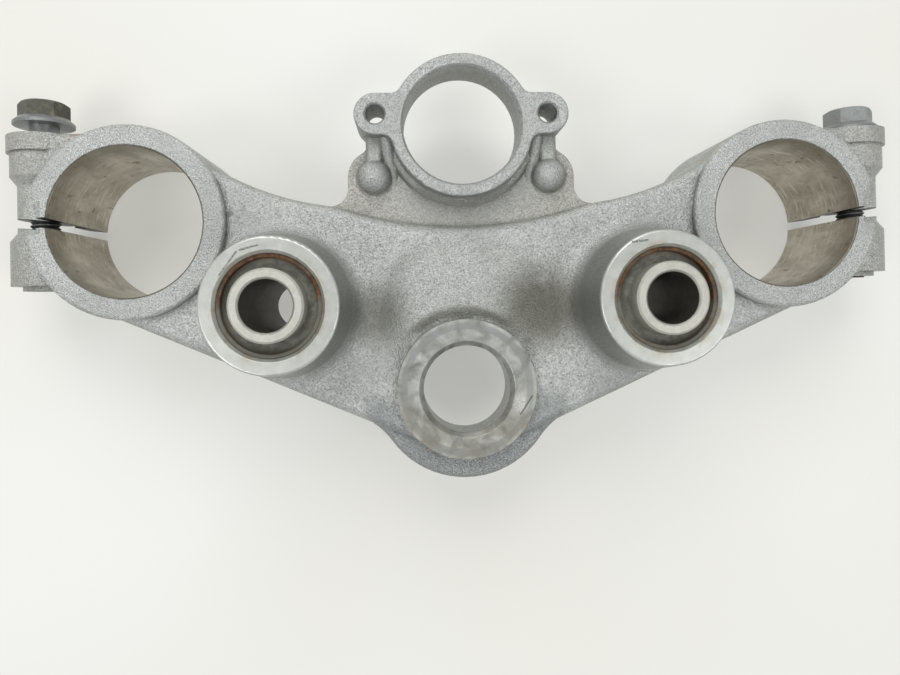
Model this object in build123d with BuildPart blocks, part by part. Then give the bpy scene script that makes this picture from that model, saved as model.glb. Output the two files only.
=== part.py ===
from build123d import *
import os
from math import atan2, cos, degrees, radians, sin, tan

# Upper triple clamp of a motorcycle: one aluminium casting, two pinch bolts and two
# rubber bushes for the handlebar. Millimetres, +Z up, +Y to the front of the motorcycle.
# The origin is the point where the steering stem's axis leaves the machined top face.

os.makedirs("parts", exist_ok=True)

# Fork clamps
fork_pitch = 182.5
fork_offset = 47.3
fork_bore = 41.0
clamp_height = 38.0
clamp_wall = 6.0
clamp_edge_round = 1.2
slot_width = 2.6
slot_angle = 6.0
slot_lead = 1.0
bore_chamfer = 0.5

# Arms and their plan outline
arm_top = -2.5
arm_bottom = -22.0
arm_edge_round = 2.6
arm_lower_round = 1.5
rear_edge_angle = 23.7
front_edge_y = 45.2
front_bow_radius = 108.0
front_bow_reach = 36.0
front_blend = 30.0
front_arc_angle = 52.0
arm_end_radius = 25.5
lobe_radius = 25.7
lobe_blend = 22.0
lobe_top = -5.5
lobe_edge_round = 1.8

# Dished centre
dish_front_y = 43.0
dish_length = 31.0
dish_half_width = 18.0
dish_tilt = 9.5
dish_slope = 60.0
dish_corner = 13.0
dish_corner_share = 0.45
dish_reach = 7.0
dish_floor_round = 10.0

# Steering stem boss
stem_bore = 24.0
stem_chamfer = 1.3
stem_face_radius = 19.2
stem_draft = 2.0
stem_wall_depth = 9.0
stem_seat_depth = 12.8
stem_recess_radius = 17.0
stem_lower_radius = 22.5

# Handlebar bosses
bar_pitch = 99.2
bar_y = 23.9
bar_top = 19.2
bar_top_radius = 17.2
bar_draft = 7.5
bar_foot_round = 4.5
bar_edge_round = 0.6
bar_lower_radius = 17.6

# Handlebar bushes
bush_diameter = 26.0
bush_fit = 0.02
bush_recess = 0.9
bush_length = 34.0
bush_lead_in = 0.8
shell_wall = 1.1
shell_edge = 0.25
sleeve_diameter = 18.3
sleeve_bore = 13.0
sleeve_stand = 3.7
sleeve_length = 51.0
sleeve_edge = 0.5
rubber_recess = 2.2
rubber_dip = 1.2

# Key switch ring with its plate, ears and bumps
ring_y = 72.8
ring_bore = 32.6
ring_wall = 3.5
ring_top = 0.3
ring_height = 14.0
ring_chamfer = 0.6
ring_foot_round = 2.0
ring_foot_root = 1.0
plate_top = -5.7
plate_half = 32.0
plate_corner = 7.6
plate_blend = 5.0
plate_reach = 10.0
ear_pitch = 47.8
ear_y = 75.9
ear_radius = 5.8
ear_hole = 5.2
ear_chamfer = 0.5
ear_blend = 3.0
bump_pitch = 49.0
bump_y = 59.5
bump_radius = 4.9
bump_foot_round = 1.2
bump_rib_width = 4.6
bump_rib_top = -3.4
bump_rib_round = 1.4
notch_half = 26.5
ridge_radius = 2.4
ridge_front = (21.0, 71.5, -4.2)
ridge_rear = (19.4, 57.5, -8.0)

# Pinch bolt ears, with their places in plan measured from the fork bore's axis
pinch_x = 30.15
pinch_z = -19.0
collar_radius = 9.8
barrel_radius = 9.0
neck_radius = 7.1
seat_y = 26.9
collar_length = 4.9
neck_taper = 2.6
neck_front_end = 12.5
neck_rear_end = -1.0
barrel_rear_end = -16.3
end_disc_radius = 6.0
end_disc_length = 1.4
web_half_height = 8.0
web_round = 2.0
web_root = (5.75, 24.7)
web_front_inset = 14.9
web_rear_inset = 10.4
web_rear_y = -14.8
relief_inset = 8.0
relief_outer_inset = 3.1
relief_front = 5.4
relief_front_slant = 5.8
relief_rear = 2.8
ear_margin = 14.0
relief_floor = -28.5

# Pinch bolts
bolt_diameter = 8.0
bolt_clearance = 0.25
thread_clearance = 0.04
bolt_length = 45.0
bolt_tip = 1.0
thread_core = 6.9
thread_length = 24.0
flange_diameter = 16.4
flange_thickness = 2.1
hex_across_flats = 12.0
hex_height = 4.7
hex_chamfer = 0.8
hex_turn = 13.0
flange_rim = 0.9
left_backed_out = 3.6

# Underside pockets
pocket_ceiling = -11.8
pocket_wall = 4.2
pocket_round = 2.0
pocket_foot_round = 1.0
rib_width = 4.0
web_width = 15.0

fork_x = fork_pitch / 2
clamp_radius = fork_bore / 2 + clamp_wall
bar_x = bar_pitch / 2
ring_radius = ring_bore / 2 + ring_wall
ring_bottom = ring_top - ring_height
ear_x = ear_pitch / 2
bump_x = bump_pitch / 2
bolt_x = fork_x + pinch_x
slot_length = slot_lead + pinch_x + ear_margin - fork_bore / 2
rear_slope = tan(radians(rear_edge_angle))
rear_normal = (sin(radians(rear_edge_angle)), -cos(radians(rear_edge_angle)))
sides = (-1, 1)


def rear_tangent(side):
    """Point where the straight rear edge touches the round end of the arm."""
    return (side * (fork_x + arm_end_radius * rear_normal[0]), fork_offset + arm_end_radius * rear_normal[1])


def front_tangent(side):
    """Point where the concave front edge leaves the round end of the arm."""
    angle = radians(front_arc_angle)
    return (side * (fork_x - arm_end_radius * cos(angle)), fork_offset + arm_end_radius * sin(angle))


front_bow_end = front_edge_y + front_bow_radius - (front_bow_radius**2 - front_bow_reach**2) ** 0.5
rear_apex = rear_tangent(1)[1] - rear_tangent(1)[0] * rear_slope

# Plan outline of the arms
with BuildSketch() as arms_plan:
    with BuildLine():
        front_bow = ThreePointArc(
            (-front_bow_reach, front_bow_end), (0, front_edge_y), (front_bow_reach, front_bow_end)
        )
        for side, bow_end in ((1, front_bow @ 1), (-1, front_bow @ 0)):
            inboard = (-side * sin(radians(front_arc_angle)), -cos(radians(front_arc_angle)))
            TangentArc(front_tangent(side), bow_end, tangent=inboard)
            ThreePointArc(
                front_tangent(side), (side * (fork_x + arm_end_radius), fork_offset), rear_tangent(side)
            )
            Line(rear_tangent(side), (0, rear_apex))
    make_face()
    bow_corners = arms_plan.vertices().filter_by(lambda corner: abs(abs(corner.X) - front_bow_reach) < 0.01)
    fillet(bow_corners, front_blend)
    fillet(arms_plan.vertices().sort_by(Axis.Y)[0], stem_face_radius)

# The same outline with the lobe round the stem
with BuildSketch() as yoke_plan:
    add(arms_plan.sketch)
    Circle(lobe_radius)
    lobe_corners = yoke_plan.vertices().filter_by(
        lambda corner: abs((corner.X**2 + corner.Y**2) ** 0.5 - lobe_radius) < 0.01
    )
    fillet(lobe_corners.group_by(Axis.Y)[0], lobe_blend)

# Lower ledge that the lobe makes behind the stem
with BuildPart() as stem_lobe:
    with BuildSketch(Plane.XY.offset(arm_bottom)):
        add(yoke_plan.sketch)
    extrude(amount=lobe_top - arm_bottom)
    fillet(stem_lobe.faces().sort_by(Axis.Z)[-1].edges(), lobe_edge_round)

# Core of the dish between the bosses, deepest in front of the stem. Its corners leave a
# straight run on the shortest side
dish_corner_limit = dish_corner_share * min(dish_length, 2 * dish_half_width)
dish_plane = Plane(
    origin=(0, dish_front_y, arm_top),
    x_dir=(1, 0, 0),
    z_dir=(0, -sin(radians(dish_tilt)), cos(radians(dish_tilt))),
)
with BuildPart() as dish_core:
    with BuildSketch(dish_plane):
        with Locations((0, -dish_length / 2)):
            RectangleRounded(2 * dish_half_width, dish_length, min(dish_corner, dish_corner_limit))
    extrude(amount=dish_reach, taper=-dish_slope)
    fillet(dish_core.faces().filter_by(dish_plane).sort_by(Axis.Z)[0].edges(), dish_floor_round)


def turned_about_y(x, z, profile):
    """Solid turned about a line along Y, from (y, radius) corners."""
    with BuildPart() as turned:
        with BuildSketch(Plane(origin=(x, 0, z), x_dir=(0, 1, 0), z_dir=(1, 0, 0))):
            with BuildLine():
                Polyline(*profile, close=True)
            make_face()
        revolve(axis=Axis((x, 0, z), (0, 1, 0)))
    return turned


# Foot of the right handlebar boss: flares into the arm and runs out at the arm's rear edge
foot_start = arm_top + bar_foot_round * (1 - sin(radians(bar_draft)))
foot_wall_radius = bar_top_radius + (bar_top - foot_start) * tan(radians(bar_draft))
foot_radius = foot_wall_radius + bar_foot_round * cos(radians(bar_draft))
foot_turn = radians((90 + bar_draft) / 2)
foot_middle = (
    foot_radius - bar_foot_round * sin(foot_turn),
    arm_top + bar_foot_round * (1 - cos(foot_turn)),
)
foot_bottom = arm_top - arm_edge_round
foot_limit = Plane(
    origin=(*rear_tangent(1), foot_bottom),
    x_dir=(-rear_normal[1], rear_normal[0], 0),
    z_dir=(*rear_normal, 1),
)

with BuildPart() as right_foot:
    with BuildSketch(Plane(origin=(bar_x, bar_y, 0), x_dir=(1, 0, 0), z_dir=(0, -1, 0))):
        with BuildLine():
            flare = ThreePointArc((foot_wall_radius, foot_start), foot_middle, (foot_radius, arm_top))
            Polyline(flare @ 1, (foot_radius, foot_bottom), (0, foot_bottom), (0, foot_start), flare @ 0)
        make_face()
    revolve(axis=Axis((bar_x, bar_y, 0), (0, 0, 1)))
    split(bisect_by=foot_limit, keep=Keep.BOTTOM)

# Tapered post of a handlebar boss
with BuildPart() as bar_post:
    with BuildSketch(Plane.XY.offset(bar_top)):
        Circle(bar_top_radius)
    extrude(amount=foot_bottom - bar_top, taper=-bar_draft)
    fillet(bar_post.faces().sort_by(Axis.Z)[-1].edges(), bar_edge_round)

# Fork clamp barrel
with BuildPart() as clamp_barrel:
    with BuildSketch():
        Circle(clamp_radius)
    extrude(amount=-clamp_height)
    fillet(clamp_barrel.edges().filter_by(GeomType.CIRCLE), clamp_edge_round)

# Key switch ring with its two screw ears
with BuildPart() as key_ring:
    with BuildSketch(Plane.XY.offset(ring_bottom)) as ring_plan:
        with Locations((0, ring_y)):
            Circle(ring_radius)
        with Locations((0, ear_y)):
            SlotCenterToCenter(ear_pitch, 2 * ear_radius)
        ring_corners = ring_plan.vertices().filter_by(
            lambda corner: abs(corner.X) < ring_radius and abs(abs(corner.Y - ear_y) - ear_radius) < 0.01
        )
        fillet(ring_corners, ear_blend)
    extrude(amount=ring_height)
    fillet(key_ring.faces().sort_by(Axis.Z)[-1].edges(), ring_chamfer)

# Blend between the ring's wall and the plate, on the ring's rear half
with BuildPart() as ring_foot:
    with BuildSketch(Plane(origin=(0, ring_y, 0), x_dir=(1, 0, 0), z_dir=(0, -1, 0))):
        with BuildLine():
            hollow = RadiusArc(
                (ring_radius, plate_top + ring_foot_round),
                (ring_radius + ring_foot_round, plate_top),
                ring_foot_round,
            )
            Polyline(
                hollow @ 1,
                (ring_radius + ring_foot_round, ring_bottom),
                (ring_radius - ring_foot_root, ring_bottom),
                (ring_radius - ring_foot_root, plate_top + ring_foot_round),
                hollow @ 0,
            )
        make_face()
    revolve(axis=Axis((0, ring_y, 0), (0, 0, 1)), revolution_arc=-180)

# Plate that carries the ring on the arms
with BuildPart() as key_plate:
    with BuildSketch(Plane.XY.offset(ring_bottom)) as plate_plan:
        add(yoke_plan.sketch)
        with Locations((0, dish_front_y)):
            Rectangle(
                2 * (plate_half + plate_reach), bump_y - dish_front_y,
                align=(Align.CENTER, Align.MIN), mode=Mode.INTERSECT,
            )
        with Locations((0, bump_y)):
            Rectangle(2 * plate_half, bump_y - dish_front_y, align=(Align.CENTER, Align.MAX))
        offset(amount=plate_blend)
        offset(amount=-plate_blend)
        with Locations((0, bump_y)):
            Rectangle(2 * notch_half, ear_y - bump_y, align=(Align.CENTER, Align.MIN))
            Rectangle(2 * (plate_half - plate_corner), plate_corner, align=(Align.CENTER, Align.MIN))
        with Locations(*[(side * (plate_half - plate_corner), bump_y) for side in sides]):
            Circle(plate_corner)
        with Locations(*[(side * ear_x, ear_y) for side in sides]):
            Circle(ear_radius)
        notch_corners = plate_plan.vertices().filter_by(
            lambda corner: abs(abs(corner.X) - notch_half) < 0.01 and corner.Y > bump_y
        )
        fillet(notch_corners, ear_blend)
    extrude(amount=plate_top - ring_bottom)
    with Locations(*[(side * bump_x, bump_y, plate_top) for side in sides]):
        Sphere(bump_radius)
    bump_feet = key_plate.edges().filter_by(
        lambda edge: edge.geom_type == GeomType.CIRCLE and abs(edge.radius - bump_radius) < 0.01
    )
    fillet(bump_feet, bump_foot_round)

# Low rib from each bump to its ear
with BuildPart() as bump_ribs:
    with BuildSketch(Plane.XY.offset(ring_bottom)):
        with Locations(*[(side * bump_x, bump_y) for side in sides]):
            Rectangle(bump_rib_width, ear_y - bump_y, align=(Align.CENTER, Align.MIN))
    extrude(amount=bump_rib_top - ring_bottom)
    fillet(bump_ribs.faces().group_by(Axis.Z)[-1].edges().filter_by(Axis.Y), bump_rib_round)

# Ridge from the right ear down along the ring's wall, sinking into the plate
ridge_run = Vector(*ridge_rear) - Vector(*ridge_front)
with BuildPart() as right_ridge:
    with Locations(Plane(origin=ridge_front, z_dir=ridge_run)):
        Cylinder(ridge_radius, ridge_run.length, align=(Align.CENTER, Align.CENTER, Align.MIN))

# Web from the right clamp to its pinch bolt ears
with BuildPart() as right_web:
    with BuildSketch(Plane.XY.offset(pinch_z - web_half_height)):
        with BuildLine():
            Polyline(
                (0, 0),
                web_root,
                (pinch_x - web_front_inset, seat_y),
                (pinch_x, seat_y),
                (pinch_x, web_rear_y),
                (pinch_x - web_rear_inset, web_rear_y),
                close=True,
            )
        make_face()
    extrude(amount=2 * web_half_height)
    fillet(right_web.faces().sort_by(Axis.Z)[-1].edges(), web_round)
    fillet(right_web.faces().sort_by(Axis.Z)[0].edges(), web_round)

# Barrels of the ears, in front of and behind the slot, and the neck between them
right_barrels = turned_about_y(pinch_x, pinch_z, [
    (barrel_rear_end - end_disc_length, 0),
    (barrel_rear_end - end_disc_length, end_disc_radius),
    (barrel_rear_end, end_disc_radius),
    (barrel_rear_end, barrel_radius),
    (0, barrel_radius),
    (neck_front_end, neck_radius),
    (neck_front_end + neck_taper, barrel_radius),
    (seat_y - collar_length, barrel_radius),
    (seat_y - collar_length, collar_radius),
    (seat_y, collar_radius),
    (seat_y, 0),
])

right_neck = turned_about_y(pinch_x, pinch_z, [
    (neck_rear_end - neck_taper, 0),
    (neck_rear_end - neck_taper, barrel_radius),
    (neck_rear_end, neck_radius),
    (neck_front_end, neck_radius),
    (neck_front_end, 0),
])

# Relief beside the slot, outside the clamp barrel
with BuildPart() as right_relief:
    with BuildSketch(Plane.XY.offset(relief_floor)):
        with BuildLine():
            Polyline(
                (pinch_x - relief_inset, -relief_rear),
                (pinch_x - relief_outer_inset, neck_rear_end - neck_taper),
                (pinch_x + ear_margin, neck_rear_end - neck_taper),
                (pinch_x + ear_margin, neck_front_end),
                (pinch_x - relief_outer_inset, neck_front_end),
                (pinch_x - relief_outer_inset, relief_front + relief_front_slant),
                (pinch_x - relief_inset, relief_front),
                close=True,
            )
        make_face()
    extrude(amount=-relief_floor)

# Right pinch bolt ears, relieved down to the neck beside the slot
with BuildPart() as right_ears:
    add(right_web.part)
    add(right_barrels.part)
    add(right_relief.part, mode=Mode.SUBTRACT)
    add(right_neck.part)

# Right fork clamp with its ears
with BuildPart() as right_clamp:
    add(clamp_barrel.part)
    add(right_relief.part, mode=Mode.SUBTRACT)
    add(right_ears.part)

# Underside pockets, with ribs from the stem to the bosses and to the front, and wide
# webs from each handlebar boss to the rear wall and to its fork clamp
stem_rib_angle = degrees(atan2(bar_y, bar_x))
clamp_web_angle = degrees(atan2(fork_offset - bar_y, fork_x - bar_x))
wall_web_angle = rear_edge_angle - 90

with BuildSketch(Plane.XY.offset(arm_bottom)) as right_pockets:
    add(yoke_plan.sketch)
    offset(amount=-pocket_wall)
    Circle(stem_lower_radius, mode=Mode.SUBTRACT)
    Rectangle(bar_x, rib_width, rotation=stem_rib_angle, align=(Align.MIN, Align.CENTER), mode=Mode.SUBTRACT)
    Rectangle(2 * fork_x, 2 * fork_x, align=(Align.MAX, Align.CENTER), mode=Mode.SUBTRACT)
    Rectangle(rib_width, 2 * fork_x, mode=Mode.SUBTRACT)
    with Locations((fork_x, fork_offset)):
        Circle(clamp_radius, mode=Mode.SUBTRACT)
    with Locations((bar_x, bar_y)):
        Circle(bar_lower_radius, mode=Mode.SUBTRACT)
        for angle in (clamp_web_angle, wall_web_angle):
            Rectangle(bar_x, web_width, rotation=angle, align=(Align.MIN, Align.CENTER), mode=Mode.SUBTRACT)
    offset(amount=-pocket_round)
    offset(amount=pocket_round)

with BuildPart() as right_cores:
    extrude(right_pockets.sketch, amount=pocket_ceiling - arm_bottom)
    fillet(right_cores.faces().group_by(Axis.Z)[-1].edges(), pocket_foot_round)


def bore_rims(block, radius, height):
    """Round edges of a bore at one height."""
    return block.edges().filter_by(GeomType.CIRCLE).filter_by(
        lambda edge: abs(edge.radius - radius) < 0.001 and abs(edge.arc_center.Z - height) < 0.001
    )


with BuildPart() as casting:
    # Arms
    with BuildSketch(Plane.XY.offset(arm_bottom)):
        add(arms_plan.sketch)
    extrude(amount=arm_top - arm_bottom)
    fillet(casting.faces().sort_by(Axis.Z)[-1].edges(), arm_edge_round)
    add(stem_lobe.part)
    fillet(casting.faces().sort_by(Axis.Z)[0].edges(), arm_lower_round)
    add(dish_core.part, mode=Mode.SUBTRACT)

    # Pockets
    add(right_cores.part, mode=Mode.SUBTRACT)
    mirror(right_cores.part, about=Plane.YZ, mode=Mode.SUBTRACT)

    # Handlebar bosses
    add(right_foot.part)
    mirror(right_foot.part, about=Plane.YZ)
    with Locations(*[(side * bar_x, bar_y) for side in sides]):
        add(bar_post.part)

    # Steering stem boss
    with BuildSketch(Plane.XY):
        Circle(stem_face_radius)
    extrude(amount=-stem_wall_depth, taper=-stem_draft)

    # Fork clamps with the ears for the pinch bolts
    placed_clamp = Pos(fork_x, fork_offset) * right_clamp.part
    add(placed_clamp)
    mirror(placed_clamp, about=Plane.YZ)

    # Key switch mount
    add(key_plate.part)
    add(bump_ribs.part)
    add(right_ridge.part)
    mirror(right_ridge.part, about=Plane.YZ)
    add(ring_foot.part)
    add(key_ring.part)

    # Bores and recesses
    for radius, x, y, bottom, top in (
        (fork_bore / 2, -fork_x, fork_offset, -clamp_height, 0),
        (fork_bore / 2, fork_x, fork_offset, -clamp_height, 0),
        (bush_diameter / 2, -bar_x, bar_y, arm_bottom, bar_top),
        (bush_diameter / 2, bar_x, bar_y, arm_bottom, bar_top),
        (stem_bore / 2, 0, 0, arm_bottom, 0),
        (stem_recess_radius, 0, 0, arm_bottom, -stem_seat_depth),
        (ring_bore / 2, 0, ring_y, ring_bottom, ring_top),
        (ear_hole / 2, -ear_x, ear_y, ring_bottom, ring_top),
        (ear_hole / 2, ear_x, ear_y, ring_bottom, ring_top),
    ):
        with Locations((x, y, bottom)):
            Cylinder(radius, top - bottom, align=(Align.CENTER, Align.CENTER, Align.MIN), mode=Mode.SUBTRACT)

    # Holes for the pinch bolts: clearance in front of the slot, threaded behind it
    for side in sides:
        with Locations(Location((side * bolt_x, fork_offset, pinch_z), (-90, 0, 0))):
            Cylinder(
                bolt_diameter / 2 + bolt_clearance, seat_y,
                align=(Align.CENTER, Align.CENTER, Align.MIN), mode=Mode.SUBTRACT,
            )
        with Locations(Location((side * bolt_x, fork_offset, pinch_z), (90, 0, 0))):
            Cylinder(
                bolt_diameter / 2 + thread_clearance, end_disc_length - barrel_rear_end,
                align=(Align.CENTER, Align.CENTER, Align.MIN), mode=Mode.SUBTRACT,
            )

    # Broken edges of the bores
    for radius, height, width in (
        (fork_bore / 2, 0, bore_chamfer),
        (fork_bore / 2, -clamp_height, bore_chamfer),
        (stem_bore / 2, 0, stem_chamfer),
        (bush_diameter / 2, bar_top, bush_lead_in),
        (ring_bore / 2, ring_top, ring_chamfer),
        (ring_bore / 2, ring_bottom, ring_chamfer),
        (ear_hole / 2, ring_top, ear_chamfer),
    ):
        chamfer(bore_rims(casting, radius, height), width)

    # Clamping slots, turned a little to the front
    for side in sides:
        bore_edge = (side * (fork_x + fork_bore / 2), fork_offset, -clamp_height / 2)
        slot_start = Location(bore_edge, (0, 0, side * slot_angle))
        with Locations(slot_start * Pos(side * (slot_length / 2 - slot_lead), 0, 0)):
            Box(slot_length, slot_width, clamp_height, mode=Mode.SUBTRACT)


def pinch_bolt(x, underside, turn):
    """Flange bolt along Y with its head to the front, from the flange's underside."""
    hex_start = underside + flange_thickness
    hex_end = hex_start + hex_height
    hex_corner = hex_across_flats / 3**0.5
    thread_end = underside - bolt_length + thread_length
    stem = turned_about_y(x, pinch_z, [
        (underside - bolt_length, 0),
        (underside - bolt_length, thread_core / 2),
        (thread_end, thread_core / 2),
        (thread_end + bolt_tip, bolt_diameter / 2),
        (underside, bolt_diameter / 2),
        (underside, flange_diameter / 2),
        (underside + flange_rim, flange_diameter / 2),
        (hex_start, hex_corner),
        (hex_start, 0),
    ])
    crown = turned_about_y(x, pinch_z, [
        (underside, 0),
        (underside, hex_corner),
        (hex_end - hex_chamfer, hex_corner),
        (hex_end, hex_across_flats / 2 - hex_chamfer / 2),
        (hex_end, 0),
    ])
    with BuildPart() as bolt:
        with BuildSketch(Plane(origin=(x, underside, pinch_z), x_dir=(1, 0, 0), z_dir=(0, 1, 0))):
            RegularPolygon(hex_across_flats / 2, 6, major_radius=False, rotation=30 + turn)
        extrude(amount=hex_end - underside)
        add(crown.part, mode=Mode.INTERSECT)
        add(stem.part)
    return bolt


def turned_about_z(x, y, profile):
    """Solid turned about a line along Z, from a face drawn in radius and height."""
    with BuildPart() as turned:
        add(Plane(origin=(x, y, 0), x_dir=(1, 0, 0), z_dir=(0, -1, 0)) * profile)
        revolve(axis=Axis((x, y, 0), (0, 0, 1)))
    return turned


# Half sections of a handlebar bush, in radius and height
shell_top = bar_top - bush_recess
sleeve_top = bar_top + sleeve_stand
shell_outer = (bush_diameter - bush_fit) / 2
shell_inner = shell_outer - shell_wall
rubber_top = shell_top - rubber_recess
rubber_bottom = shell_top - bush_length + rubber_recess
rubber_middle = (shell_inner + sleeve_diameter / 2) / 2

with BuildSketch() as shell_section:
    with Locations((shell_inner, shell_top)):
        Rectangle(shell_wall, bush_length, align=(Align.MIN, Align.MAX))
    fillet(shell_section.vertices(), shell_edge)

with BuildSketch() as rubber_section:
    with BuildLine():
        ThreePointArc(
            (sleeve_diameter / 2, rubber_top),
            (rubber_middle, rubber_top - rubber_dip),
            (shell_inner, rubber_top),
        )
        Line((shell_inner, rubber_top), (shell_inner, rubber_bottom))
        ThreePointArc(
            (shell_inner, rubber_bottom),
            (rubber_middle, rubber_bottom + rubber_dip),
            (sleeve_diameter / 2, rubber_bottom),
        )
        Line((sleeve_diameter / 2, rubber_bottom), (sleeve_diameter / 2, rubber_top))
    make_face()

with BuildSketch() as sleeve_section:
    with Locations((sleeve_bore / 2, sleeve_top)):
        Rectangle((sleeve_diameter - sleeve_bore) / 2, sleeve_length, align=(Align.MIN, Align.MAX))
    chamfer(sleeve_section.vertices(), sleeve_edge)

# Named pieces
casting.part.label = "upper casting"
export_step(casting.part, "parts/upper_casting.step")

for name, side, backed_out in (("left", -1, left_backed_out), ("right", 1, 0)):
    bolt = pinch_bolt(side * bolt_x, fork_offset + seat_y + backed_out, side * hex_turn)
    shell = turned_about_z(side * bar_x, bar_y, shell_section.sketch)
    rubber = turned_about_z(side * bar_x, bar_y, rubber_section.sketch)
    sleeve = turned_about_z(side * bar_x, bar_y, sleeve_section.sketch)
    for piece, title in (
        (bolt, "pinch bolt"),
        (shell, "bush shell"),
        (rubber, "bush rubber"),
        (sleeve, "bush sleeve"),
    ):
        piece.part.label = name + " " + title
        export_step(piece.part, "parts/" + name + "_" + title.replace(" ", "_") + ".step")
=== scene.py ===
from math import cos, pi, radians, sin

import bmesh
import bpy
from mathutils import Matrix, Vector


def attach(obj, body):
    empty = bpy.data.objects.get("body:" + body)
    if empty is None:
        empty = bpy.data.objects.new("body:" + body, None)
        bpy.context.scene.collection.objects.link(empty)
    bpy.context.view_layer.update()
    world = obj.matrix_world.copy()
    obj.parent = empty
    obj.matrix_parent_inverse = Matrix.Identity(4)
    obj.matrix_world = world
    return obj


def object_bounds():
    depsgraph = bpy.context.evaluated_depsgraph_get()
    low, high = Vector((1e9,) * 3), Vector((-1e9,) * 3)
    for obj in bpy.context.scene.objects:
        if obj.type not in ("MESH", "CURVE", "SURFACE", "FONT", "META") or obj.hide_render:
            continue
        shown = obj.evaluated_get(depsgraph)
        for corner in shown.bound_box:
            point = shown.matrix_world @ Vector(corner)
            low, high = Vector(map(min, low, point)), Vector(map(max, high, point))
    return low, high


# Looks of the upper triple clamp: its casting, pinch bolts and handlebar bushes.

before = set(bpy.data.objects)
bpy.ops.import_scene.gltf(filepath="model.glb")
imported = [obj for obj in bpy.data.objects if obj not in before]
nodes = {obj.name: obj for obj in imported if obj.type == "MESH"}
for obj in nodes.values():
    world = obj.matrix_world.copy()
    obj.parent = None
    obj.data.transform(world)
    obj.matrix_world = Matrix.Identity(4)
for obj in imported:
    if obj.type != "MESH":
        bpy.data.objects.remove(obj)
cad_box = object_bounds()
MM = 0.001

# Sizes of the solids that the finishes follow, in millimetres
FORK = (91.25, 47.3)
FORK_BORE = 20.5
BAR = (49.6, 23.9)
BAR_TOP = 19.2
BAR_FACE = 17.9
STEM_BORE = 12.0
STEM_FACE = 19.2
RING = (0.0, 72.8)
DISH_Y = 28.0
SLOT_ANGLE = 6.0
SLOT_HALF = 1.36

# Pinch bolts: their axis as x and z, and where their tips lie in y
PINCH = (121.4, -19.0)
BOLT_TIP = {"left": 32.8, "right": 29.2}

# Rolled thread of the bolts: the corners of its tooth are radius and place along the axis
THREAD_PITCH = 1.25
THREAD_TURNS = 18
THREAD_STEPS = 32
THREAD_TOOTH = ((3.42, 0.0), (3.97, 0.46), (3.97, 0.66), (3.42, 1.12))
TIP_CHAMFER = 0.6

# Cast skin: size and depth of its grain, reach of the dirt and painted shade out of corners, and
# how far edges blend in the light
GRAIN_SIZE = 0.45
GRAIN_DEPTH = 0.5
DIRT_AND_SHADE_REACH = 7.0
EDGE_BLEND = 0.3
DISH_BLEND = 3.0

# Room: gap under the object in millimetres, share of its own tone in the floor, and the world's
# strength as it lights and as it is seen
FLOOR_GAP = 0.2
OWN_TONE = 0.42
ROOM_LIGHT = 0.5
ROOM_SEEN = 0.7

# Camera fitted to the circles in the photograph, with the row in it that the lens looks at
PHOTO_WIDTH, PHOTO_HEIGHT = 900, 675
CENTRE_ROW = 299
CAMERA_PLACE = (-13.96, 23.27, 191.54)
CAMERA_TURN = {"Z": 0.0198, "Y": 0.0504, "X": -0.0084}


def linear(code):
    """Linear colour of an sRGB hex value."""
    channels = [int(code[i:i + 2], 16) / 255 for i in (1, 3, 5)]
    return tuple(c / 12.92 if c <= 0.04045 else ((c + 0.055) / 1.055) ** 2.4 for c in channels) + (1.0,)


def add(tree, kind, inputs=None, **settings):
    """Add a shader node with its settings, values and links. A node as a value gives its first output."""
    node = tree.nodes.new("ShaderNode" + kind)
    for key, value in settings.items():
        setattr(node, key, value)
    for key, value in (inputs or {}).items():
        if isinstance(value, bpy.types.Node):
            value = value.outputs[0]
        if isinstance(value, bpy.types.NodeSocket):
            tree.links.new(value, node.inputs[key])
        else:
            node.inputs[key].default_value = value
    return node


def new_material(name, **values):
    """Material with a Principled shader whose plain values are set on its sockets."""
    material = bpy.data.materials.new(name)
    material.use_nodes = True
    shader = material.node_tree.nodes["Principled BSDF"]
    for key, value in values.items():
        shader.inputs[key.replace("_", " ")].default_value = value
    return material, material.node_tree, shader


def plan_distance(t, point, x, y):
    """Distance from an upright axis, in millimetres."""
    offset = add(t, "VectorMath", {0: point, 1: (x, y, 0)}, operation="SUBTRACT")
    flat = add(t, "VectorMath", {0: offset, 1: (1, 1, 0)}, operation="MULTIPLY")
    return add(t, "VectorMath", {0: flat}, operation="LENGTH").outputs["Value"]


def between(t, value, start, end):
    """0 at start and before it, 1 at end and past it, with a soft step."""
    return add(
        t, "MapRange", {"Value": value, "From Min": start, "From Max": end}, interpolation_type="SMOOTHSTEP"
    ).outputs[0]


def both(t, *factors):
    """Product of several factors."""
    result = factors[0]
    for factor in factors[1:]:
        result = add(t, "Math", {0: result, 1: factor}, operation="MULTIPLY").outputs[0]
    return result


def either(t, *factors):
    """The largest of several factors."""
    result = factors[0]
    for factor in factors[1:]:
        result = add(t, "Math", {0: result, 1: factor}, operation="MAXIMUM").outputs[0]
    return result


def tint(t, factor, under, over):
    """Colour over laid on colour under by a factor."""
    return add(t, "Mix", {0: factor, 6: under, 7: over}, data_type="RGBA").outputs[2]


def stroke(t, point, start, end, width):
    """1 along a scratch from start to end, 0 beyond its width."""
    run = Vector(end) - Vector(start)
    offset = add(t, "VectorMath", {0: point, 1: start}, operation="SUBTRACT")
    along = add(t, "VectorMath", {0: offset, 1: run / run.length_squared}, operation="DOT_PRODUCT")
    share = add(t, "Clamp", {"Value": along.outputs["Value"]})
    nearest = add(t, "VectorMath", {0: tuple(run), "Scale": share}, operation="SCALE")
    gap = add(t, "VectorMath", {0: offset, 1: nearest}, operation="DISTANCE").outputs["Value"]
    return between(t, gap, width, width * 0.4)


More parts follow.
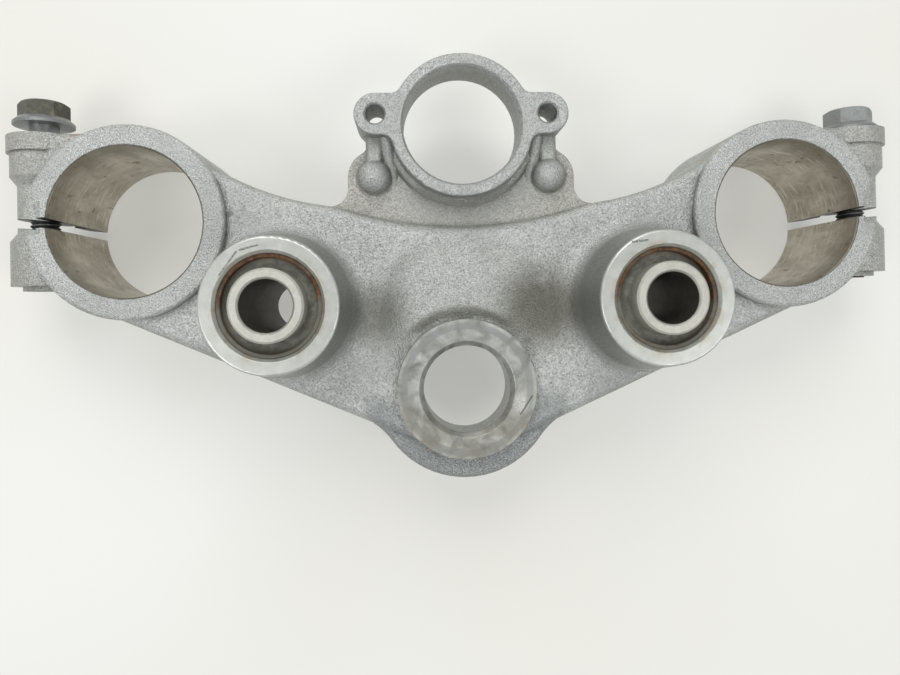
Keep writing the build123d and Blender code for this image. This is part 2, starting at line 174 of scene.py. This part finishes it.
def object_millimetres(t):
    """Object coordinates in millimetres, the same folded to the right side, and their parts.

    A pattern on them has the scale 1 / size, with the size of its features in millimetres.
    """
    metres = add(t, "TexCoord").outputs["Object"]
    point = add(t, "VectorMath", {0: metres, "Scale": 1000.0}, operation="SCALE")
    parts = add(t, "SeparateXYZ", {0: point})
    side = add(t, "Math", {0: parts.outputs[0]}, operation="ABSOLUTE")
    folded = add(t, "CombineXYZ", {0: side, 1: parts.outputs[1], 2: parts.outputs[2]})
    return point.outputs[0], folded.outputs[0], parts


def seen_rays(t):
    """1 for what the camera sees, straight or in a mirror, 0 for rays that only bring light."""
    path = add(t, "LightPath")
    return either(t, *(path.outputs[f"Is {kind} Ray"] for kind in ("Camera", "Glossy", "Transmission")))


# Sand cast aluminium: coarse sparkling grain, grey with a little blue, dirt and painted shade in
# the hollows, and smooth machined seats where other parts bear
def make_cast_aluminium():
    material, t, shader = new_material("sand_cast_aluminium", Metallic=0.72)
    point, folded, parts = object_millimetres(t)
    forward, height = parts.outputs[1:]
    fork = plan_distance(t, folded, *FORK)
    bar = plan_distance(t, folded, *BAR)
    stem = plan_distance(t, point, 0, 0)
    ring = plan_distance(t, point, *RING)

    # Where the casting was machined
    fork_wall = between(t, fork, FORK_BORE + 0.35, FORK_BORE + 0.15)
    bar_face = both(
        t, between(t, bar, BAR_FACE + 0.5, BAR_FACE), between(t, height, BAR_TOP - 1.0, BAR_TOP - 0.6)
    )
    stem_wall = between(t, stem, STEM_BORE + 1.6, STEM_BORE + 1.4)
    stem_face = both(t, between(t, stem, STEM_FACE + 0.4, STEM_FACE), between(t, height, -0.45, -0.1))
    slot_turn = radians(SLOT_ANGLE)
    slot_offset = add(
        t, "VectorMath", {0: folded, 1: (FORK[0] + FORK_BORE, FORK[1], 0)}, operation="SUBTRACT"
    )
    slot_across = add(
        t, "VectorMath", {0: slot_offset, 1: (-sin(slot_turn), cos(slot_turn), 0)}, operation="DOT_PRODUCT"
    ).outputs["Value"]
    slot_gap = add(t, "Math", {0: slot_across}, operation="ABSOLUTE").outputs[0]
    slot_wall = both(
        t, between(t, slot_gap, SLOT_HALF + 0.06, SLOT_HALF),
        between(t, fork, FORK_BORE + 0.1, FORK_BORE + 0.2),
        between(t, add(t, "SeparateXYZ", {0: folded}).outputs[0], 108.0, 110.0),
    )
    machined = either(t, fork_wall, bar_face, stem_wall, stem_face, slot_wall)

    # Cast walls with less grain: the bosses' sides and the ring's surroundings
    bar_wall = both(t, between(t, bar, 24.0, 20.5), between(t, height, 0.5, 6.0))
    ring_zone = between(t, ring, 34.0, 24.0)

    # Grain of the mould, drawn a little coarser than sand so that it shows
    fine = add(t, "TexNoise", {"Vector": point, "Scale": 1 / GRAIN_SIZE, "Detail": 2.0, "Roughness": 0.6})
    coarse = add(t, "TexNoise", {"Vector": point, "Scale": 1 / 1.5, "Detail": 3.0, "Roughness": 0.6})
    grain = add(t, "Math", {0: coarse, 1: 0.3, 2: fine}, operation="MULTIPLY_ADD").outputs[0]
    calm = add(t, "Math", {0: 1.0, 1: machined}, operation="SUBTRACT")
    for zone, loss in ((bar_wall, 0.6), (ring_zone, 0.3)):
        calm = add(t, "Math", {0: zone, 1: -loss, 2: calm}, operation="MULTIPLY_ADD", use_clamp=True)

    # Hollows hold dirt, and their ambient occlusion darkens them as painted shade
    hollow = add(t, "AmbientOcclusion", {"Distance": DIRT_AND_SHADE_REACH * MM}, samples=8, only_local=True)
    dirt_noise = add(t, "TexNoise", {"Vector": point, "Scale": 1 / 9.0, "Detail": 4.0, "Roughness": 0.6})
    patch_noise = add(t, "TexNoise", {"Vector": point, "Scale": 1 / 28.0, "Detail": 3.0, "Roughness": 0.55})
    corner_dirt_and_shade = both(t, between(t, hollow.outputs["AO"], 0.8, 0.35), between(t, dirt_noise, 0.25, 0.7))

    # Cast skin
    skin = tint(t, between(t, grain, 0.4, 0.9), linear("#999c98"), linear("#cecfcc"))
    skin = tint(t, both(t, between(t, patch_noise, 0.42, 0.68), 0.45), skin, linear("#9a9c98"))
    pits = both(t, between(t, grain, 0.5, 0.36), 0.6)
    skin = tint(t, pits, skin, linear("#6a6c68"))

    # Olive darkening in the dish inboard of both handlebar bosses, stronger on its right side, that is
    # dirt and painted shade on the dish slopes, and painted shade in the hollow in front of the stem
    inner_dirt_and_shade = both(t, between(t, plan_distance(t, folded, 24.5, 21.0), 13.0, 2.0), 0.75)
    right_dirt_and_shade = between(t, plan_distance(t, point, 21.5, 22.0), 17.0, 4.0)
    stem_hollow_shade = both(t, between(t, stem, 19.6, 20.8), between(t, stem, 24.0, 21.6))
    stem_hollow_shade = both(t, stem_hollow_shade, between(t, forward, 13.0, 18.0), 0.8)
    dish_dirt_and_shade = either(t, inner_dirt_and_shade, right_dirt_and_shade, stem_hollow_shade)
    dish_dirt_and_shade = both(t, dish_dirt_and_shade, between(t, height, 6.0, -1.0), between(t, dirt_noise, 0.05, 0.45))
    skin = tint(t, both(t, dish_dirt_and_shade, 0.85), skin, linear("#605e52"))

    # Painted bluish shade on the lobe behind the stem, and a darker tan band low on the outer sides
    lobe_ring = both(t, between(t, stem, 19.4, 20.4), between(t, stem, 30.0, 27.0))
    lobe_shade = both(t, lobe_ring, between(t, forward, 2.0, -6.0))
    skin = tint(t, both(t, lobe_shade, 0.5), skin, linear("#6c7376"))
    outboard = between(t, stem, 34.0, 44.0)
    low_edge_tan = both(t, between(t, height, -2.6, -4.4), between(t, height, -16.0, -7.0), outboard)
    skin = tint(t, both(t, low_edge_tan, 0.3), skin, linear("#847a66"))
    # Painted shade and dirt: hollows found by ambient occlusion are darkened, mottled by noise
    skin = tint(t, both(t, corner_dirt_and_shade, 0.75), skin, linear("#53514a"))
    # Painted shade: the bosses' sides are darkened to a mottled dark grey
    boss_wall_shade = tint(t, dirt_noise, linear("#6b6d6a"), linear("#84877f"))
    skin = tint(t, both(t, bar_wall, 0.75), skin, boss_wall_shade)
    skin = tint(t, both(t, ring_zone, 0.4), skin, linear("#838683"))

    # Fork bores: beige film with dark specks and light rub marks, browner near the top
    tall = add(t, "VectorMath", {0: point, 1: (1.0, 1.0, 0.4)}, operation="MULTIPLY")
    film = add(t, "TexNoise", {"Vector": tall, "Scale": 1 / 6.0, "Detail": 5.0, "Roughness": 0.65})
    bore = tint(t, between(t, film, 0.2, 0.8), linear("#999180"), linear("#d6d0c1"))
    specks = add(t, "TexNoise", {"Vector": tall, "Scale": 1 / 2.2, "Detail": 3.0, "Roughness": 0.6})
    bore = tint(t, both(t, between(t, specks, 0.62, 0.72), 0.7), bore, linear("#4d4a40"))
    flat = add(t, "VectorMath", {0: point, 1: (1.0, 1.0, 5.0)}, operation="MULTIPLY")
    rubs = add(t, "TexNoise", {"Vector": flat, "Scale": 1 / 5.0, "Detail": 4.0, "Roughness": 0.6})
    bore = tint(t, both(t, between(t, rubs, 0.52, 0.68), 0.7), bore, linear("#dedbd0"))
    bore = tint(t, both(t, between(t, height, -14.0, -1.0), 0.6), bore, linear("#6a6150"))

    # Turned stem face: rings of the tool and streaks of wear
    turning = add(t, "CombineXYZ", {0: stem, 1: both(t, patch_noise, 0.4), 2: 0.0}).outputs[0]
    rings = add(t, "TexNoise", {"Vector": turning, "Scale": 1 / 0.35, "Detail": 2.0, "Roughness": 0.6})
    wear = add(
        t, "TexNoise",
        {"Vector": point, "Scale": 1 / 5.5, "Detail": 4.0, "Roughness": 0.62, "Distortion": 0.6},
    )
    face = tint(t, between(t, wear, 0.15, 0.85), linear("#73746e"), linear("#c6c7c1"))
    scuff = both(t, between(t, plan_distance(t, point, 14.7, -4.4), 3.6, 1.4), between(t, fine, 0.35, 0.6))
    face = tint(t, both(t, scuff, 0.8), face, linear("#e2e3de"))
    face = tint(t, both(t, between(t, rings, 0.55, 0.7), 0.3), face, linear("#7d7f7e"))
    nut_ring = both(t, between(t, stem, 16.2, 16.8), between(t, stem, 18.6, 18.0))
    nut_mark = both(t, nut_ring, between(t, wear, 0.35, 0.6))
    face = tint(t, both(t, nut_mark, 0.45), face, linear("#77797c"))
    oiled = both(t, between(t, forward, 6.0, -14.0), between(t, dirt_noise, 0.3, 0.6))
    face = tint(t, both(t, oiled, 0.5), face, linear("#7f7765"))

    # Boss faces: even grey, mottled, tan where rust bled from the tube
    mottle = add(t, "TexNoise", {"Vector": point, "Scale": 1 / 2.2, "Detail": 4.0, "Roughness": 0.65})
    top = tint(t, mottle, linear("#a9aba6"), linear("#cdcfc9"))
    runs = add(t, "TexNoise", {"Vector": point, "Scale": 1 / 4.0, "Detail": 3.0, "Roughness": 0.6})
    bled = both(t, between(t, bar, 15.6, 13.2), between(t, runs, 0.42, 0.62))
    top = tint(t, both(t, bled, 0.45), top, linear("#9c8662"))

    # Each machined seat over the cast skin
    colour = tint(t, fork_wall, skin, bore)
    colour = tint(t, bar_face, colour, top)
    stem_rim = both(t, stem_wall, between(t, height, -1.7, -1.4))
    colour = tint(t, either(t, stem_face, stem_rim), colour, face)
    # Painted shade: the walls of the pinch slots are painted near black
    colour = tint(t, slot_wall, colour, linear("#24231f"))

    # Scratches and dark marks that show from above
    marks = either(
        t,
        stroke(t, point, (17.8, -2.3, 0), (14.6, -7.1, 0), 0.3),
        stroke(t, point, (40.8, 38.1, BAR_TOP), (44.6, 38.5, BAR_TOP), 0.3),
        stroke(t, point, (-56.1, 37.6, BAR_TOP), (-52.0, 38.8, BAR_TOP), 0.3),
        stroke(t, point, (-61.2, 31.6, BAR_TOP), (-57.1, 37.2, BAR_TOP), 0.25),
        stroke(t, point, (-66.2, 48.2, -2.5), (-63.8, 49.4, -2.5), 1.1),
    )
    marks = both(t, marks, between(t, fine, 0.3, 0.62))
    colour = tint(t, both(t, marks, 0.5), colour, linear("#45463f"))

    # Rust washed from the bolts onto the casting beside the ears
    web_rust = both(
        t, between(t, plan_distance(t, folded, 108.4, 76.4), 5.0, 1.0), between(t, dirt_noise, 0.35, 0.6),
        between(t, height, -9.0, -12.0),
    )
    colour = tint(t, both(t, web_rust, 0.6), colour, linear("#a8763f"))
    t.links.new(colour, shader.inputs["Base Color"])

    # Roughness: grain tops glint, machined seats are smoother where they are less worn
    skin_rough = add(
        t, "MapRange", {"Value": grain, "From Min": 0.4, "From Max": 0.9, "To Min": 0.6, "To Max": 0.33}
    )
    seat_rough = add(t, "MapRange", {"Value": wear, "To Min": 0.26, "To Max": 0.5})
    rough = add(t, "Mix", {0: machined, 2: skin_rough, 3: seat_rough}, data_type="FLOAT").outputs[0]
    t.links.new(rough, shader.inputs["Roughness"])

    # Relief of the grain, the tool's rings and the marks, over edges that blend softly in the dish
    skin_relief = both(t, grain, calm)
    seat_relief = both(t, rings, 0.05)
    relief = add(t, "Mix", {0: machined, 2: skin_relief, 3: seat_relief}, data_type="FLOAT").outputs[0]
    relief = add(t, "Math", {0: marks, 1: -0.6, 2: relief}, operation="MULTIPLY_ADD")
    in_dish = both(
        t, between(t, plan_distance(t, point, 0, DISH_Y), 34.0, 29.0), between(t, stem, 20.4, 22.4),
        between(t, height, -1.0, -2.0),
    )
    blend = add(t, "Math", {0: in_dish, 1: DISH_BLEND * MM, 2: EDGE_BLEND * MM}, operation="MULTIPLY_ADD")
    softened = add(t, "Bevel", {"Radius": blend}, samples=4)
    bump = add(
        t, "Bump", {"Strength": 0.9, "Distance": GRAIN_DEPTH * MM, "Height": relief, "Normal": softened}
    )
    t.links.new(bump.outputs[0], shader.inputs["Normal"])
    return material


# Zinc plated bolt steel, dulled, with oil dirt baked on the left hexagon
def make_bolt_steel():
    material, t, shader = new_material("dulled_zinc_plated_steel", Metallic=0.85)
    point, folded, parts = object_millimetres(t)
    forward = parts.outputs[1]
    left = between(t, parts.outputs[0], 10.0, -10.0)
    grime = add(t, "TexNoise", {"Vector": point, "Scale": 1 / 4.0, "Detail": 4.0, "Roughness": 0.6})
    fine = add(t, "TexNoise", {"Vector": point, "Scale": 1 / 0.8, "Detail": 3.0, "Roughness": 0.6})
    plate = tint(t, fine, linear("#7e8180"), linear("#9ea1a0"))
    dirty = tint(t, between(t, grime, 0.32, 0.6), linear("#67634f"), linear("#38342b"))
    head = both(t, between(t, forward, 79.6, 80.2), left)
    colour = tint(t, both(t, head, 0.85), plate, dirty)
    light_grime = both(t, between(t, grime, 0.5, 0.75), 0.5)
    colour = tint(t, light_grime, colour, linear("#77736a"))

    # Painted shade: the roots between the threads are darkened near black
    outward = add(t, "SeparateXYZ", {0: folded}).outputs[0]
    across = add(t, "Math", {0: outward, 1: PINCH[0]}, operation="SUBTRACT")
    up = add(t, "Math", {0: parts.outputs[2], 1: PINCH[1]}, operation="SUBTRACT")
    from_axis = add(t, "VectorMath", {0: add(t, "CombineXYZ", {0: across, 1: up})}, operation="LENGTH")
    thread_root_shade = both(t, between(t, from_axis.outputs["Value"], 3.8, 3.5), between(t, forward, 54.5, 53.5))
    colour = tint(t, both(t, thread_root_shade, 0.8), colour, linear("#2b2924"))
    t.links.new(colour, shader.inputs["Base Color"])
    rough = add(t, "MapRange", {"Value": grime, "To Min": 0.28, "To Max": 0.55}).outputs[0]
    t.links.new(rough, shader.inputs["Roughness"])
    bump = add(t, "Bump", {"Strength": 0.7, "Distance": 0.03 * MM, "Height": fine})
    t.links.new(bump.outputs[0], shader.inputs["Normal"])
    return material


# Mild steel tube: dull olive grey, with dark and mid brown rust that is heaviest to the front
def make_rusted_shell():
    material, t, shader = new_material("rusted_steel_tube", Metallic=0.35)
    point, _, parts = object_millimetres(t)
    scale = add(t, "TexNoise", {"Vector": point, "Scale": 1 / 1.1, "Detail": 4.0, "Roughness": 0.65})
    patch = add(t, "TexNoise", {"Vector": point, "Scale": 1 / 5.0, "Detail": 3.0, "Roughness": 0.6})
    rust = tint(t, between(t, scale, 0.3, 0.7), linear("#33251b"), linear("#6e4a2b"))
    clean = tint(t, scale, linear("#56534b"), linear("#787569"))
    front = between(t, parts.outputs[1], BAR[1] - 8.0, BAR[1] + 8.0)
    spread = add(t, "Math", {0: front, 1: 0.35, 2: patch}, operation="MULTIPLY_ADD").outputs[0]
    colour = tint(t, between(t, spread, 0.5, 0.9), clean, rust)
    t.links.new(colour, shader.inputs["Base Color"])
    rough = add(t, "MapRange", {"Value": scale, "To Min": 0.55, "To Max": 0.9}).outputs[0]
    t.links.new(rough, shader.inputs["Roughness"])
    bump = add(t, "Bump", {"Strength": 0.8, "Distance": 0.12 * MM, "Height": scale})
    t.links.new(bump.outputs[0], shader.inputs["Normal"])
    return material


# Moulded rubber: olive grey with a dusty film, rust bled in from the tube
def make_rubber():
    material, t, shader = new_material("dusty_moulded_rubber", Metallic=0.0, IOR=1.5)
    point, folded, _ = object_millimetres(t)
    bar = plan_distance(t, folded, *BAR)
    dust = add(t, "TexNoise", {"Vector": point, "Scale": 1 / 1.6, "Detail": 4.0, "Roughness": 0.62})
    patch = add(t, "TexNoise", {"Vector": point, "Scale": 1 / 7.0, "Detail": 3.0, "Roughness": 0.55})
    colour = tint(t, between(t, dust, 0.3, 0.72), linear("#66665e"), linear("#8e8d84"))
    colour = tint(t, both(t, between(t, patch, 0.5, 0.7), 0.5), colour, linear("#86847a"))
    bled = both(t, between(t, bar, 10.9, 11.8), between(t, dust, 0.35, 0.6))
    colour = tint(t, both(t, bled, 0.4), colour, linear("#6b523a"))
    t.links.new(colour, shader.inputs["Base Color"])
    rough = add(t, "MapRange", {"Value": dust, "To Min": 0.55, "To Max": 0.85}).outputs[0]
    t.links.new(rough, shader.inputs["Roughness"])
    bump = add(t, "Bump", {"Strength": 0.6, "Distance": 0.12 * MM, "Height": dust})
    t.links.new(bump.outputs[0], shader.inputs["Normal"])
    return material


# Cut steel sleeve, dull beige grey from a thin oil film, with painted shade darkening its inside
def make_sleeve_steel():
    material, t, shader = new_material("oiled_cut_steel", Metallic=0.7)
    point, folded, parts = object_millimetres(t)
    bar = plan_distance(t, folded, *BAR)
    film = add(t, "TexNoise", {"Vector": point, "Scale": 1 / 2.2, "Detail": 4.0, "Roughness": 0.6})
    fine = add(t, "TexNoise", {"Vector": point, "Scale": 1 / 0.6, "Detail": 2.0, "Roughness": 0.5})
    colour = tint(t, film, linear("#a5a49b"), linear("#cdcbc2"))
    colour = tint(t, both(t, between(t, fine, 0.55, 0.75), 0.3), colour, linear("#8f8a7c"))
    # Painted shade inside the sleeve's bore
    sleeve_bore_shade = both(t, between(t, bar, 6.95, 6.7), between(t, parts.outputs[2], 22.8, 22.0))
    colour = tint(t, sleeve_bore_shade, colour, linear("#57544c"))
    t.links.new(colour, shader.inputs["Base Color"])
    rough = add(t, "MapRange", {"Value": film, "To Min": 0.4, "To Max": 0.62}).outputs[0]
    t.links.new(rough, shader.inputs["Roughness"])
    bump = add(t, "Bump", {"Strength": 0.5, "Distance": 0.06 * MM, "Height": fine})
    t.links.new(bump.outputs[0], shader.inputs["Normal"])
    return material


def dress(name, material):
    """Give a CAD node its finish."""
    mesh = nodes[name].data
    mesh.materials.clear()
    mesh.materials.append(material)


bolt_steel = make_bolt_steel()
rusted_shell = make_rusted_shell()
rubber = make_rubber()
sleeve_steel = make_sleeve_steel()
dress("upper_casting", make_cast_aluminium())
for side in ("left", "right"):
    dress(side + "_pinch_bolt", bolt_steel)
    dress(side + "_bush_shell", rusted_shell)
    dress(side + "_bush_rubber", rubber)
    dress(side + "_bush_sleeve", sleeve_steel)


def make_thread(side, sign):
    """Rolled thread on the end of a pinch bolt, spun along its axis from one tooth."""
    axis_x = sign * PINCH[0] * MM
    start = (BOLT_TIP[side] + TIP_CHAMFER) * MM
    level = PINCH[1] * MM
    mesh = bmesh.new()
    corners = [mesh.verts.new((axis_x + r * MM, start + y * MM, level)) for r, y in THREAD_TOOTH]
    bmesh.ops.spin(
        mesh, geom=[mesh.faces.new(corners)], cent=(axis_x, 0, level), axis=(0, 1, 0),
        dvec=(0, THREAD_PITCH * MM / THREAD_STEPS, 0), angle=2 * pi * THREAD_TURNS,
        steps=THREAD_STEPS * THREAD_TURNS, use_merge=False,
    )
    bmesh.ops.recalc_face_normals(mesh, faces=mesh.faces[:])

    # The spin gives its faces in another order each run, so they are put in one order
    mesh.verts.index_update()
    in_order = sorted(mesh.faces, key=lambda face: sorted(vert.index for vert in face.verts))
    for place, face in enumerate(in_order):
        face.index = place
    mesh.faces.sort()

    data = bpy.data.meshes.new(side + "_pinch_thread")
    mesh.to_mesh(data)
    mesh.free()
    data.materials.append(bolt_steel)
    thread = bpy.data.objects.new(side + "_pinch_thread", data)
    bpy.context.collection.objects.link(thread)
    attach(thread, "root")


make_thread("left", -1)
make_thread("right", 1)


# Pale table top with a faint sheen and warm patches. A share of what the camera and the metal
# see of it is its own pale tone, so that its shadows stay soft
def make_floor():
    material, t, shader = new_material("satin_white_board", Metallic=0.0, Roughness=0.42, IOR=1.45)
    point = add(t, "TexCoord").outputs["Object"]
    patch = add(t, "TexNoise", {"Vector": point, "Scale": 7.0, "Detail": 2.0})
    colour = tint(t, between(t, patch, 0.35, 0.7), linear("#e8e8e4"), linear("#e4e2da"))
    t.links.new(colour, shader.inputs["Base Color"])
    tone = add(t, "Emission", {"Color": linear("#efefea"), "Strength": 1.0})
    blend = add(t, "MixShader", {0: both(t, seen_rays(t), OWN_TONE), 1: shader.outputs[0], 2: tone})
    t.links.new(blend.outputs[0], t.nodes["Material Output"].inputs["Surface"])
    return material


floor_level = cad_box[0].z - FLOOR_GAP * MM
bpy.ops.mesh.primitive_plane_add(size=6.0, location=(0, 0, floor_level))
floor = bpy.context.object
floor.name = "floor"
floor.data.materials.append(make_floor())

# World: an even pale room, which the camera and the metal see paler than it lights
world = bpy.data.worlds.new("room")
bpy.context.scene.world = world
world.use_nodes = True
room = world.node_tree
sky = room.nodes["Background"]
sky.inputs["Color"].default_value = linear("#eef0f1")
strength = add(room, "MapRange", {"Value": seen_rays(room), "To Min": ROOM_LIGHT, "To Max": ROOM_SEEN})
room.links.new(strength.outputs[0], sky.inputs["Strength"])


def lamp(name, place, size, power):
    """Soft square lamp aimed at the middle of the object."""
    light = bpy.data.lights.new(name, "AREA")
    light.energy = power
    light.size = size
    holder = bpy.data.objects.new(name, light)
    bpy.context.collection.objects.link(holder)
    holder.location = place
    aim = Vector((0, 0.04, 0)) - Vector(place)
    holder.rotation_euler = aim.to_track_quat("-Z", "Y").to_euler()


lamp("front_window", (-0.15, 0.85, 0.85), 0.8, 8)
lamp("left_lamp", (-0.62, -0.32, 0.95), 0.4, 3.6)
lamp("right_lamp", (0.66, -0.30, 0.95), 0.4, 2.8)

# Camera at the photograph's place: nearly overhead
camera = bpy.data.cameras.new("camera")
camera.lens = 28.0
camera.sensor_width = 36.0
camera.shift_y = (CENTRE_ROW - PHOTO_HEIGHT / 2) / PHOTO_WIDTH
camera.clip_start = 0.01
viewer = bpy.data.objects.new("camera", camera)
bpy.context.collection.objects.link(viewer)
turned = Matrix.Identity(3)
for axis, turn in CAMERA_TURN.items():
    turned = turned @ Matrix.Rotation(turn, 3, axis)
viewer.matrix_world = Matrix.Translation(Vector(CAMERA_PLACE) * MM) @ turned.transposed().to_4x4()
bpy.context.scene.camera = viewer
bpy.context.scene.view_settings.view_transform = "Standard"
